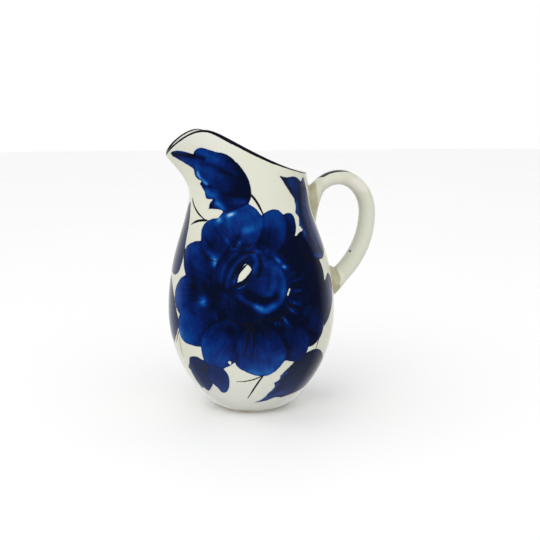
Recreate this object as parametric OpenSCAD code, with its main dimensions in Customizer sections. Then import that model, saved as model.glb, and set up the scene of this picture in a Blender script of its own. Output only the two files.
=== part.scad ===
// Porcelain cream jug with a drawn-out pouring lip, a slanting rim and a loop handle.
// The pear-shaped body is one hollow shell that stands on a turned foot ring. The
// handle is a rod luted to the body with slip, which leaves a fillet at each root.
// Origin: middle of the foot ring's underside. +Z is up, the lip points along -X and
// the handle along +X, and the jug is symmetric about the XZ plane.

/* [Body] */
// Widest radius of the belly
belly_r = 35.8; // [32:0.2:40]
// Height of the widest point
belly_z = 42.5; // [36:0.5:50]
// Radius of the flat underside
base_r = 14.5; // [13.5:0.5:18]
// Radius of the narrow neck on the handle side
neck_r = 24.9; // [22:0.1:28]
// Extra neck radius on the lip side
neck_front = 1.6; // [0:0.1:3]
// Height of the neck
neck_z = 92; // [86:0.5:94]
// Wall thickness of the belly
wall_t = 3; // [2:0.1:4]

/* [Rim and lip] */
// Radius of the rim at the handle
rim_r = 23.6; // [21:0.1:27]
// Height of the rim at the handle
rim_z = 100.8; // [99:0.1:104]
// Rise of the rim from the handle to its crest beside the lip
rim_rise = 21; // [10:0.5:24]
// Reach of the lip's tip from the axis
lip_reach = 35.7; // [31:0.1:40]
// Half angle of the pinched lip
lip_half_angle = 22; // [16:1:28]
// Drop from the crest to the tip of the lip
lip_drop = 13.4; // [6:0.1:15]
// Half angle of the dip in the rim at the tip
dip_half_angle = 20; // [14:1:24]
// Thickness of the rounded rim
rim_t = 2.4; // [1.6:0.1:3]

/* [Handle] */
// Width of the handle across the jug
handle_w = 9; // [7:0.1:11]
// Thickness of the handle where it leaves the upper root
handle_t_top = 6.1; // [5.5:0.1:7.5]
// Thickness of the handle at the lower root
handle_t_low = 7.9; // [6:0.1:8.5]
// Furthest reach of the handle's centre line from the axis
handle_reach = 51.1; // [48:0.1:56]
// Height of that furthest point
handle_reach_z = 83.5; // [79:0.5:87]

/* [Foot ring] */
// Outer radius of the foot ring
foot_r = 13.5; // [12:0.1:13.5]
// Inner radius of the foot ring
foot_bore_r = 10.8; // [8:0.1:11]
// Height of the foot ring
foot_h = 1.2; // [1:0.1:2]

/* [Hidden] */

glaze = "ivory";
slip = "antiquewhite";
biscuit = "tan";

n_cols = 72;          // columns round the body
col_crowding = 24;    // degrees by which columns are drawn towards the lip
n_low = 16;           // rings from the underside to the belly
n_mid = 14;           // rings from the belly to the neck
n_top = 10;           // rings from the neck to the rim
n_round = 6;          // steps round the rim's edge
n_inner = 30;         // rings down the inside
n_sides = 24;         // sides of the handle
n_handle = 22;        // rings along each half of the handle
n_fillet = 8;         // rings between the body and the handle in a joint
n_patch = 3;          // rings of a joint's face on the body

// Points that steer the three curves of the wall's outline
base_pull = 3.5;      // outwards at the underside
belly_pull_low = 25.5;    // downwards from the belly
belly_pull_high = 25.3;   // upwards from the belly
neck_pull = 13.6;     // downwards from the neck
neck_lean = 0.06;     // inward lean of the wall at the neck
rim_lean_back = -0.12;    // lean of the wall at the rim on the handle side
rim_lean_lip = 0.8;   // outward lean of the wall under the lip
lip_power = 2.6;      // how squarely the lip stands out of the round rim
dip_power = 1.8;      // how squarely the rim dips at the lip
rise_power = 1.43;    // how late the rim starts to rise from the handle
rim_pull_low = 0.4;   // share of the neck's rise that the curve leaves the neck along
rim_pull_high = 0.36; // share of it that the curve meets the rim along

// Ends of the handle's centre line and the directions it runs there
top_end = [30.2, 95.8];
top_dir = unit2([0.77, 0.64]);
low_end = [40, 57.2];
low_dir = unit2([-0.7, -0.71]);
top_pull = 12.2;      // from the upper end, along its direction
reach_pull_up = 12.4;     // upwards from the furthest point
reach_pull_down = 5.5;    // downwards from the furthest point
low_pull = 14.2;      // from the lower end, back along its direction

// Footprints of the joints on the body: height of the middle, half height, half width
upper_print = [87.2, 8.5, 7];
lower_print = [54.2, 7, 6.4];
slip_stand = 1.6;     // how far a fillet stands off the wall as it leaves it
// Fillets: share of the footprint swept over on the gap's side, and straight run of
// slip behind the handle's end
upper_fillet = [0.55, 2.2];
lower_fillet = [0.1, 0.9];

// ---- small helpers ----
function unit2(v) = v / norm(v);
function left_of(v) = [-v[1], v[0]];
function mix(a, b, t) = a * (1 - t) + b * t;
function bezier(p, q, r, s, t) =
    p * pow(1 - t, 3) + q * 3 * t * pow(1 - t, 2) + r * 3 * t * t * (1 - t) + s * pow(t, 3);

// ---- the rim, by angle a from the lip's direction ----
function lip_share(a) = 1 / (1 + pow(a / lip_half_angle, lip_power));
function rim_reach(a) = rim_r
    + (lip_reach - rim_r) * (lip_share(a) - lip_share(180)) / (1 - lip_share(180));
function rim_height(a) = rim_z + rim_rise * pow((1 + cos(a)) / 2, rise_power)
    - lip_drop * exp(-pow(a / dip_half_angle, dip_power));

// ---- outline of the wall as [radius, height] ----
// phi is the angle round the axis from the handle; v runs from 0 at the underside to
// 1 at the belly, 2 at the neck and 3 at the rim.
function from_lip(phi) = abs(180 - phi);
function outline(phi, v) =
    let (a = from_lip(phi),
         belly = [belly_r, belly_z],
         neck = [neck_r + neck_front * pow((1 + cos(a)) / 2, 2), neck_z],
         neck_dir = [-neck_lean, 1],
         rim = [rim_reach(a), rim_height(a)],
         rim_dir = unit2([mix(rim_lean_back, rim_lean_lip, lip_share(a)), 1]),
         rise = rim[1] - neck[1])
    v <= 1 ? bezier([base_r, foot_h], [base_r + base_pull, foot_h],
                    belly - [0, belly_pull_low], belly, v)
    : v <= 2 ? bezier(belly, belly + [0, belly_pull_high],
                      neck - neck_dir * neck_pull, neck, v - 1)
    : bezier(neck, neck + neck_dir * rise * rim_pull_low,
             rim - rim_dir * rise * rim_pull_high, rim, v - 2);

// Direction along the wall, and the direction out of it
function along(phi, v) =
    let (d = 0.01, lo = max(v - d, 0), hi = min(v + d, 3))
    unit2(outline(phi, hi) - outline(phi, lo));
function out_of(phi, v) = -left_of(along(phi, v));
function thickness(v) = mix(wall_t, rim_t, max(v - 1, 0) / 2);

// One closed section of the shell: up the outside, over the rim, down the inside
outer_v = concat([for (i = [0 : n_low - 1]) i / n_low],
                 [for (i = [0 : n_mid - 1]) 1 + i / n_mid],
                 [for (i = [0 : n_top]) 2 + i / n_top]);
function section(phi) =
    let (edge = outline(phi, 3), dir = along(phi, 3), out = out_of(phi, 3),
         middle = edge - out * rim_t / 2)
    concat([for (v = outer_v) outline(phi, v)],
           [for (i = [1 : n_round - 1])
               let (t = 180 * i / n_round)
               middle + (out * cos(t) + dir * sin(t)) * rim_t / 2],
           [for (i = [0 : n_inner])
               let (v = 3 * (1 - i / n_inner))
               outline(phi, v) - out_of(phi, v) * thickness(v)]);

function around(phi, p) = [p[0] * cos(phi), p[0] * sin(phi), p[1]];
function column_angle(i) =
    let (t = 360 * i / n_cols) t + col_crowding * sin(t);

// Quads between rings of n points, each ring starting at first + ring * n
function band_faces(rings, n, first = 0) =
    [for (k = [0 : rings - 2]) for (i = [0 : n - 1])
        let (j = (i + 1) % n, lo = first + k * n, hi = lo + n)
        each [[lo + i, hi + i, hi + j], [lo + i, hi + j, lo + j]]];

module jug_body() {
    sections = [for (i = [0 : n_cols - 1])
        let (phi = column_angle(i)) [for (p = section(phi)) around(phi, p)]];
    rings = len(sections[0]);
    points = concat([for (k = [0 : rings - 1]) for (i = [0 : n_cols - 1]) sections[i][k]],
                    [[0, 0, foot_h], [0, 0, foot_h + wall_t]]);
    under = rings * n_cols;
    floor_mid = under + 1;
    last = (rings - 1) * n_cols;
    fans = [for (i = [0 : n_cols - 1]) let (j = (i + 1) % n_cols)
        each [[under, i, j], [floor_mid, last + j, last + i]]];
    color(glaze) polyhedron(points, concat(band_faces(rings, n_cols), fans), convexity = 8);
}

module foot_ring() {
    bevel = 0.4;
    color(biscuit) rotate_extrude($fn = 96)
        polygon([[foot_bore_r, foot_h], [foot_bore_r, bevel], [foot_bore_r + bevel, 0],
                 [foot_r - bevel, 0], [foot_r, bevel], [foot_r, foot_h]]);
}

// ---- handle ----
reach_point = [handle_reach, handle_reach_z];
function handle_mid(t) =
    t <= 1 ? bezier(top_end, top_end + top_dir * top_pull,
                    reach_point + [0, reach_pull_up], reach_point, t)
    : bezier(reach_point, reach_point - [0, reach_pull_down],
             low_end - low_dir * low_pull, low_end, t - 1);
function handle_dir(t) =
    let (d = 0.01) unit2(handle_mid(min(t + d, 2)) - handle_mid(max(t - d, 0)));
// Ring of points round the centre line; the first point is on the loop's outside
function handle_ring(t) =
    let (mid = handle_mid(t), out = left_of(handle_dir(t)),
         thick = mix(handle_t_top, handle_t_low, t / 2))
    [for (i = [0 : n_sides - 1])
        let (s = 360 * i / n_sides, p = mid + out * cos(s) * thick / 2)
        [p[0], -sin(s) * handle_w / 2, p[1]]];

module handle() {
    rings = 2 * n_handle + 1;
    points = [for (k = [0 : rings - 1]) each handle_ring(k / n_handle)];
    caps = [[for (i = [0 : n_sides - 1]) i],
            [for (i = [n_sides - 1 : -1 : 0]) (rings - 1) * n_sides + i]];
    color(glaze) polyhedron(points, concat(caps, band_faces(rings, n_sides)), convexity = 6);
}

// ---- joints between the handle and the body ----
// v of the outline at height z, by halving the interval
function v_at(phi, z, lo = 0, hi = 3, n = 22) =
    n == 0 ? (lo + hi) / 2
    : let (v = (lo + hi) / 2)
      outline(phi, v)[1] < z ? v_at(phi, z, v, hi, n - 1) : v_at(phi, z, lo, v, n - 1);
function wall_point(phi, z) = around(phi, outline(phi, v_at(phi, z)));

// Point of a footprint at share k of its size; up is 1 when its first point is on top
function print_point(print, up, s, k) =
    let (z = print[0] + up * print[1] * cos(s) * k,
         y = -up * print[2] * sin(s) * k,
         r = outline(0, v_at(0, z))[0])
    wall_point(asin(y / r), z);

// Slip fillet from a footprint on the body to the handle's flat end. dir points out of
// the body along the handle.
module slip_joint(print, fillet, up, end_ring, dir) {
    dir3 = [dir[0], 0, dir[1]];
    mid = print_point(print, up, 0, 0);
    patch = [for (k = [1 : n_patch]) for (i = [0 : n_sides - 1])
        print_point(print, up, 360 * i / n_sides, k / n_patch)];
    edge = [for (i = [0 : n_sides - 1]) patch[(n_patch - 1) * n_sides + i]];
    sides = [for (k = [1 : n_fillet]) for (i = [0 : n_sides - 1])
        let (hug = fillet[0] * (1 - cos(360 * i / n_sides)) / 2,
             rise = mix(edge[i], mid, hug) + [slip_stand, 0, 0],
             lead_in = end_ring[i] - dir3 * fillet[1])
        bezier(edge[i], rise, lead_in, end_ring[i], k / n_fillet)];
    rings = n_patch + n_fillet;
    points = concat([mid], patch, sides);
    fan = [for (i = [0 : n_sides - 1]) [0, 1 + i, 1 + (i + 1) % n_sides]];
    cap = [for (i = [n_sides - 1 : -1 : 0]) 1 + (rings - 1) * n_sides + i];
    color(slip) polyhedron(points, concat(fan, band_faces(rings, n_sides, 1), [cap]),
                           convexity = 6);
}

module upper_handle_joint() {
    slip_joint(upper_print, upper_fillet, 1, handle_ring(0), top_dir);
}

module lower_handle_joint() {
    mirrored_ring = [for (p = handle_ring(2)) [p[0], -p[1], p[2]]];
    slip_joint(lower_print, lower_fillet, -1, mirrored_ring, -low_dir);
}

jug_body();
foot_ring();
handle();
upper_handle_joint();
lower_handle_joint();
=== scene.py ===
"""Porcelain cream jug: a glazed body painted in cobalt with a peony spray, a loop
handle luted on with slip, and an unglazed foot ring.

The shapes repeat the CAD model's own rules in millimetres and are built much finer.
Painting is laid out on the unrolled wall, one side at a time, and reaches the
materials as distances in millimetres from the edge of each brush mark."""

import math

import bpy
import numpy as np
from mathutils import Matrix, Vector


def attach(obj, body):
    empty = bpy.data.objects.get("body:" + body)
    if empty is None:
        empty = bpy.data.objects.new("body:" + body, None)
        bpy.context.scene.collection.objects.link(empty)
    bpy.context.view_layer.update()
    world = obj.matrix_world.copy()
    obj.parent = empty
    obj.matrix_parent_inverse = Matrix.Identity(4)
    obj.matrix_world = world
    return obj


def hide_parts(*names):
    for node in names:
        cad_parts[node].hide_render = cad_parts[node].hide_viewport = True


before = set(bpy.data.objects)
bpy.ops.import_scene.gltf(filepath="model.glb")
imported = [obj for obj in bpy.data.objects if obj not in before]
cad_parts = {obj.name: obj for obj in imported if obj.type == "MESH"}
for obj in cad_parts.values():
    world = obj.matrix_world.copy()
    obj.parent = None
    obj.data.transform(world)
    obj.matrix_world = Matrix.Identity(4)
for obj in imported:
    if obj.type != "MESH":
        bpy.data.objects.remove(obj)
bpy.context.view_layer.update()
MM = 0.001

# -------- driving sizes, mm
BELLY_R, BELLY_Z = 35.8, 42.5
BASE_R, FOOT_H = 14.5, 1.2
NECK_R, NECK_FRONT, NECK_Z = 24.9, 1.6, 92.0
WALL_T, RIM_T = 3.0, 2.4
RIM_R, RIM_Z, RIM_RISE = 23.6, 100.8, 21.0
LIP_REACH, LIP_HALF_ANGLE, LIP_POWER = 35.7, 22.0, 2.6
LIP_DROP, DIP_HALF_ANGLE, DIP_POWER, RISE_POWER = 13.4, 20.0, 1.8, 1.43
BASE_PULL, BELLY_PULL_LOW, BELLY_PULL_HIGH = 3.5, 25.5, 25.3
NECK_PULL, NECK_LEAN = 13.6, 0.06
TOP_PULL_NECK, TOP_PULL_RIM = 0.4, 0.36     # shares of the rise from neck to rim
RIM_LEAN_BACK, RIM_LEAN_LIP = -0.12, 0.8
HANDLE_W, HANDLE_T_TOP, HANDLE_T_LOW = 9.0, 6.1, 7.9
FOOT_R, FOOT_BORE_R = 13.5, 10.8

# -------- camera, mm
CAM_AZIMUTH = -9.0      # the lip is turned a little towards the camera
CAM_DISTANCE = 420.0    # from the jug's axis
CAM_HEIGHT = 126.0      # a little above the crest of the rim
CAM_LENS = 65.7         # gives the photograph's framing
SENSOR = 36.0
CAM_AIM = (7.95, -1.3, 59.4)


def add_object(name, data):
    thing = bpy.data.objects.new(name, data)
    bpy.context.scene.collection.objects.link(thing)
    return thing


def aim(thing, place, target):
    """Put a camera or a light at place, facing target."""
    thing.location = place
    thing.rotation_mode = "QUATERNION"
    thing.rotation_quaternion = (target - place).to_track_quat("-Z", "Y")


def make_camera():
    a = math.radians(CAM_AZIMUTH)
    data = bpy.data.cameras.new("camera")
    data.lens, data.sensor_width = CAM_LENS, SENSOR
    data.clip_start, data.clip_end = 0.01, 20.0
    cam = add_object("camera", data)
    place = Vector((math.sin(a) * CAM_DISTANCE, -math.cos(a) * CAM_DISTANCE, CAM_HEIGHT))
    aim(cam, place * MM, Vector(CAM_AIM) * MM)
    bpy.context.scene.camera = cam


# -------- wall shape
def bezier(p, q, r, s, t):
    """A cubic curve from p to s, pulled towards q and r."""
    return p * (1 - t) ** 3 + q * 3 * t * (1 - t) ** 2 + r * 3 * t * t * (1 - t) + s * t ** 3


def mix(a, b, t):
    return a * (1 - t) + b * t


def unit(v):
    return np.array(v, float) / np.linalg.norm(v)


def smooth(lo, hi, x):
    """0 on lo's side, 1 on hi's side and a smooth slope between them."""
    t = np.clip((x - lo) / (hi - lo), 0, 1)
    return t * t * (3 - 2 * t)


def lip_share(a):
    """How much of the lip's reach the rim has, a degrees away from the lip's middle."""
    return 1 / (1 + (a / LIP_HALF_ANGLE) ** LIP_POWER)


def outline(phi, v):
    """[radius, height] of the outer wall: phi in degrees from the handle, v from 0 at
    the underside to 1 at the belly, 2 at the neck and 3 at the rim. Arrays broadcast."""
    phi, v = np.broadcast_arrays(np.asarray(phi, float), np.asarray(v, float))
    a = np.abs(180 - phi % 360)
    nil = np.zeros_like(a)
    share = lip_share(a)
    far = lip_share(180.0)
    facing = (1 + np.cos(np.radians(a))) / 2
    neck = np.stack([NECK_R + NECK_FRONT * facing ** 2, nil + NECK_Z], -1)
    rim = np.stack([RIM_R + (LIP_REACH - RIM_R) * (share - far) / (1 - far),
                    RIM_Z + RIM_RISE * facing ** RISE_POWER
                    - LIP_DROP * np.exp(-(a / DIP_HALF_ANGLE) ** DIP_POWER)], -1)
    rim_dir = np.stack([mix(RIM_LEAN_BACK, RIM_LEAN_LIP, share), nil + 1], -1)
    rim_dir /= np.linalg.norm(rim_dir, axis=-1, keepdims=True)
    neck_dir = np.array([-NECK_LEAN, 1.0])
    rise = (rim[..., 1] - neck[..., 1])[..., None]
    belly = np.array([BELLY_R, BELLY_Z])
    base = np.array([BASE_R, FOOT_H])
    t = v[..., None]
    low = bezier(base, base + [BASE_PULL, 0], belly - [0, BELLY_PULL_LOW], belly, t)
    middle = bezier(belly, belly + [0, BELLY_PULL_HIGH], neck - neck_dir * NECK_PULL,
                    neck, t - 1)
    top = bezier(neck, neck + neck_dir * rise * TOP_PULL_NECK,
                 rim - rim_dir * rise * TOP_PULL_RIM, rim, t - 2)
    return np.where(t <= 1, low, np.where(t <= 2, middle, top))


def along(phi, v):
    """Unit direction up the wall's section."""
    v = np.asarray(v, float)
    nudge = 0.004
    d = outline(phi, np.minimum(v + nudge, 3)) - outline(phi, np.maximum(v - nudge, 0))
    return d / np.linalg.norm(d, axis=-1, keepdims=True)


def out_of(phi, v):
    """Unit direction straight out of the wall's section."""
    d = along(phi, v)
    return np.stack([d[..., 1], -d[..., 0]], -1)


def around(phi, p):
    """Points in space from [radius, height] at phi degrees from the handle."""
    a = np.radians(phi)
    return np.stack([p[..., 0] * np.cos(a), p[..., 0] * np.sin(a), p[..., 1]], -1)


def chart_radius(z):
    """The radius that the wall is unrolled at: the handle side's, at height z."""
    p = outline(0.0, np.linspace(0, 3, 400))
    return np.interp(z, p[:, 1], p[:, 0])


# -------- mesh helpers
def ring_quads(rings, n, first=0):
    """Quads between rings of n points each; first is the first ring's first point."""
    k, i = np.meshgrid(np.arange(rings - 1), np.arange(n), indexing="ij")
    j = (i + 1) % n
    lo = first + k * n
    return np.stack([lo + i, lo + j, lo + n + j, lo + n + i], -1).reshape(-1, 4)


def make_piece(name, points, quads, loops, replaces, material, attributes=None):
    """A smooth mesh piece from points in mm, quads and a few other faces."""
    mesh = bpy.data.meshes.new(name)
    faces = [tuple(int(i) for i in f) for f in quads] + [tuple(f) for f in loops]
    mesh.from_pydata([tuple(p) for p in np.asarray(points) * MM], [], faces)
    mesh.validate()
    mesh.shade_smooth()
    for key, values in (attributes or {}).items():
        layer = mesh.attributes.new(key, "FLOAT", "POINT")
        layer.data.foreach_set("value", np.asarray(values, np.float32))
    mesh.materials.append(material)
    piece = add_object(name, mesh)
    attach(piece, "root")
    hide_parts(*replaces)


# -------- brush marks
FAR = -9.0          # distance given to points that no mark is near
NO_INK = -12.0      # width given to points that no line is near
INK_REACH = 2.2     # how far from its middle a line leaves its distances
SOFT = 0.35         # half the width over which one wash takes over from another
SIDE_SPAN = 125     # degrees to each side of the middle that one side's painting covers


def polygon_distance(u, z, shape):
    """Signed distance in mm from points to a closed outline, positive inside."""
    out = np.full(u.shape, FAR)
    lo, hi = shape.min(0) + FAR, shape.max(0) - FAR
    near = np.flatnonzero((u > lo[0]) & (u < hi[0]) & (z > lo[1]) & (z < hi[1]))
    x, y = u[near], z[near]
    best = np.full(len(near), np.inf)
    inside = np.zeros(len(near), bool)
    for a, b in zip(shape, np.roll(shape, -1, axis=0)):
        ab = b - a
        if not ab.any():
            continue
        dx, dy = x - a[0], y - a[1]
        t = np.clip((dx * ab[0] + dy * ab[1]) / (ab @ ab), 0, 1)
        np.minimum(best, (dx - t * ab[0]) ** 2 + (dy - t * ab[1]) ** 2, out=best)
        if a[1] != b[1]:
            inside ^= ((a[1] > y) != (b[1] > y)) & (dx < dy * ab[0] / ab[1])
    out[near] = np.sqrt(best) * np.where(inside, 1, -1)
    return out


def drawn(*points, steps=7):
    """Smooth closed outline through points; a point given twice makes a sharp corner."""
    p = np.array(points, float)
    before, after, beyond = np.roll(p, 1, 0), np.roll(p, -1, 0), np.roll(p, -2, 0)
    t = (np.arange(steps) / steps)[None, :, None]
    p0, p1, p2, p3 = (q[:, None, :] for q in (before, p, after, beyond))
    curve = (2 * p1 + (p2 - p0) * t + (2 * p0 - 5 * p1 + 4 * p2 - p3) * t ** 2
             + (3 * p1 - p0 - 3 * p2 + p3) * t ** 3) / 2
    return curve.reshape(-1, 2)


def petal_outline(centre, long, wide, angle, scallop, seed):
    """An egg-shaped petal, broad and gently scalloped at its outer end. angle is the
    direction that the outer end points, in degrees."""
    rng = np.random.default_rng(seed)
    points = 90
    t = np.linspace(0, 2 * np.pi, points, endpoint=False)
    outer = smooth(-0.3, 0.9, np.cos(t))
    r = 1 + scallop * outer * np.cos(4 * t + rng.uniform(-1, 1))
    for k in (2, 3, 5):
        r += 0.015 * rng.normal() * np.cos(k * t + rng.uniform(0, 6.28))
    x, y = long * r * np.cos(t), wide * r * np.sin(t) * (1 + 0.12 * np.cos(t))
    a = math.radians(angle)
    return np.stack([centre[0] + x * math.cos(a) - y * math.sin(a),
                     centre[1] + x * math.sin(a) + y * math.cos(a)], -1)


def spine_points(spine, n):
    """Points and unit directions on a smooth curve through two or three places."""
    s = [np.array(p, float) for p in spine]
    if len(s) == 2:
        s = [s[0], (s[0] + s[1]) / 2, s[1]]
    t = np.linspace(0, 1, n)[:, None]
    pull = 2 * s[1] - (s[0] + s[2]) / 2
    p = s[0] * (1 - t) ** 2 + pull * 2 * t * (1 - t) + s[2] * t ** 2
    d = np.gradient(p, axis=0)
    return p, d / np.linalg.norm(d, axis=1, keepdims=True)


class Painting:
    """The cobalt on one mesh: the marks are added in the order that they are painted.

    Each mark leaves its distance field in paint, how dark it is in tone, and where a
    point lies along and across the brush in brush_q and brush_s."""

    def __init__(self, phi, z, on_wall):
        n = len(z)
        self.phi, self.z, self.on_wall = phi, z, on_wall
        self.radius = chart_radius(z)
        self.paint = np.full(n, FAR)
        self.tone = np.full(n, 0.5)
        self.slate = np.zeros(n)
        self.brush_s, self.brush_q = np.zeros(n), np.zeros(n)
        self.ink = {k: (np.full(n, 3.0), np.full(n, NO_INK)) for k in "ab"}

    def face(self, azimuth, flip=1):
        """Turn the jug: the chart's u is 0 in the middle of the side facing azimuth, and
        z is the height. flip -1 paints mirrored."""
        turn = (self.phi - (azimuth - 90) + 180) % 360 - 180
        self.u = flip * np.radians(turn) * self.radius
        self.front = self.on_wall & (np.abs(turn) < SIDE_SPAN)

    def distance(self, shape):
        return np.where(self.front, polygon_distance(self.u, self.z, shape), FAR)

    def wash(self, shape, root, tip, dark, light, rim=0.0, shade=0.15, reach=1.5, seed=0.0,
             bend=1.0, slate=0.0):
        """One loaded brush mark. dark and light are its tones at the root and the tip,
        and bend above 1 keeps more of it dark. rim lightens a band just inside its edge.
        shade darkens what it overlaps, out to about reach. slate is how grey the blue has
        fired. seed gives it brush streaks of its own."""
        d = self.distance(shape)
        root, tip = np.array(root, float), np.array(tip, float)
        axis = tip - root
        length = np.linalg.norm(axis)
        axis /= length
        du, dv = self.u - root[0], self.z - root[1]
        run = du * axis[0] + dv * axis[1]
        side = dv * axis[0] - du * axis[1]
        cover = smooth(-SOFT, SOFT, d)
        outside = np.exp(-np.clip(-d, 0, None) / reach)
        self.tone += shade * outside * (1 - cover) * (self.paint > -0.5)
        inner = mix(dark, light, np.clip(run / length, 0, 1) ** bend)
        inner = inner - rim * np.exp(-((d - 1.3) / 1.2) ** 2)
        self.tone = mix(self.tone, inner, cover)
        self.slate = mix(self.slate, slate, cover)
        self.brush_s = np.where(d > 0, side + seed, self.brush_s)
        self.brush_q = np.where(d > 0, run + 3 * seed, self.brush_q)
        self.paint = np.maximum(self.paint, d)

    def bare(self, shape):
        """Porcelain left unpainted inside a mark."""
        self.paint = np.minimum(self.paint, -self.distance(shape))

    def patch(self, centre, size, angle, amount):
        """Lighten (negative) or darken a soft oval."""
        a = math.radians(angle)
        du, dv = self.u - centre[0], self.z - centre[1]
        x = (du * math.cos(a) + dv * math.sin(a)) / size[0]
        y = (dv * math.cos(a) - du * math.sin(a)) / size[1]
        self.tone += np.where(self.front, amount * np.exp(-(x * x + y * y)), 0)

    def patches(self, *rows):
        for row in rows:
            self.patch(*row)

    def near_curve(self, p, reach):
        """The points near a curve, and their offsets from each of its points p."""
        lo, hi = p.min(0) - reach, p.max(0) + reach
        near = np.flatnonzero(self.front & (self.u > lo[0]) & (self.u < hi[0])
                              & (self.z > lo[1]) & (self.z < hi[1]))
        return near, np.stack([self.u[near], self.z[near]], -1)[:, None, :] - p

    def sweep(self, spine, width, amount):
        """Lighten or darken along a curve."""
        p, _ = spine_points(spine, 40)
        near, gap = self.near_curve(p, 3 * width)
        distance = np.sqrt((gap ** 2).sum(-1).min(1))
        self.tone[near] += amount * np.exp(-(distance / width) ** 2)

    def sweeps(self, *rows):
        for row in rows:
            self.sweep(*row)

    def line(self, spine, width, layer="a", taper=(0.12, 0.4)):
        """A thin stroke of the liner brush, kept as the signed distance from its middle
        and its width there. taper is the share of its length that each end thins over.
        Where two on one layer meet, the nearer shows; those on two layers can cross."""
        p, d = spine_points(spine, 60)
        t = np.linspace(0, 1, 60)
        near, gap = self.near_curve(p, 3)
        i = (gap ** 2).sum(-1).argmin(1)
        g = gap[np.arange(len(i)), i]
        side = g[:, 1] * d[i, 0] - g[:, 0] * d[i, 1]
        past = np.abs(g[:, 0] * d[i, 0] + g[:, 1] * d[i, 1])
        full = smooth(0, taper[0], t[i]) * smooth(0, taper[1], 1 - t[i])
        w = width * (0.45 + 0.55 * full)
        w -= 2.0 * np.clip(past - 0.15, 0, None)                            # past its ends
        w -= 6.0 * np.clip(np.abs(side) - width / 2 - 0.35, 0, None)        # beside it
        distance, widths = self.ink[layer]
        closer = np.abs(side) < np.abs(distance[near])
        closer &= np.hypot(g[:, 0], g[:, 1]) < INK_REACH
        distance[near] = np.where(closer, side, distance[near])
        widths[near] = np.where(closer, w, widths[near])

    def lines(self, *rows, **settings):
        """Each row is a spine, a width and, for layer b, the layer."""
        for row in rows:
            self.line(*row, **settings)

    def attributes(self):
        (a, aw), (b, bw) = self.ink["a"], self.ink["b"]
        return {"paint": self.paint, "tone": np.clip(self.tone, 0, 1.1), "slate": self.slate,
                "brush_s": self.brush_s, "brush_q": self.brush_q,
                "ink_a": a, "ink_a_w": aw, "ink_b": b, "ink_b_w": bw}


# -------- motifs
# Places are (u, z) on the chart in mm. Tones run from 0, bare, to 1, darkest.
HEART = np.array([2.0, 58.0])       # the point that the peony's petals spread from
CUP = np.array([4.0, 57.0])         # middle of the closed petals inside it


def petals(art, seed):
    """The peony's petals, back ones first, over one dark wash."""
    art.wash(drawn((-26, 62), (-27, 46), (-16, 36), (4, 30), (22, 36), (31, 52), (27, 70),
                   (12, 80), (-8, 79), (-18, 70)), (2, 56), (2, 90), 0.92, 0.9, seed=seed)
    # u, z, half length, half width, dark root, light tip, rim
    shapes = (
        (25, 69, 9, 9.5, 1.02, 0.96, 0), (13.8, 79.2, 7.4, 5.4, 1, 0.66, 0.02),
        (29, 60, 8, 9, 1.02, 0.96, 0), (31, 51, 8, 9, 1, 0.92, 0),
        (-8.5, 82.5, 5, 6, 0.62, 0.44, 0), (7.8, 78.5, 9.5, 6.7, 1, 0.56, 0.03),
        (-2.5, 82, 8.5, 7, 0.78, 0.46, 0.02),
        (26, 40.5, 9.5, 8.5, 1, 0.84, 0), (-22, 65.5, 11, 8.8, 0.96, 0.56, 0),
        (-13.4, 75.6, 8.8, 8.2, 0.92, 0.66, 0.04), (17, 35, 10, 7.5, 0.96, 0.74, 0),
        (-29, 52, 10.5, 8.4, 0.96, 0.44, 0), (-25, 41.5, 11.5, 9, 0.94, 0.4, 0),
        (-12.5, 34, 11.5, 8.5, 0.92, 0.38, 0.03), (3.5, 32, 11.5, 10.5, 0.94, 0.42, 0.02),
    )
    for k, (u, z, long, wide, dark, light, rim) in enumerate(shapes):
        c = np.array([u, z], float)
        away = unit(c - HEART)
        angle = math.degrees(math.atan2(away[1], away[0]))
        art.wash(petal_outline(c, long, wide, angle, 0.035, seed + k), c - 1.1 * long * away,
                 c + 0.95 * long * away, dark, light, rim, seed=seed + 7.3 * k, bend=1.5)


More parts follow.
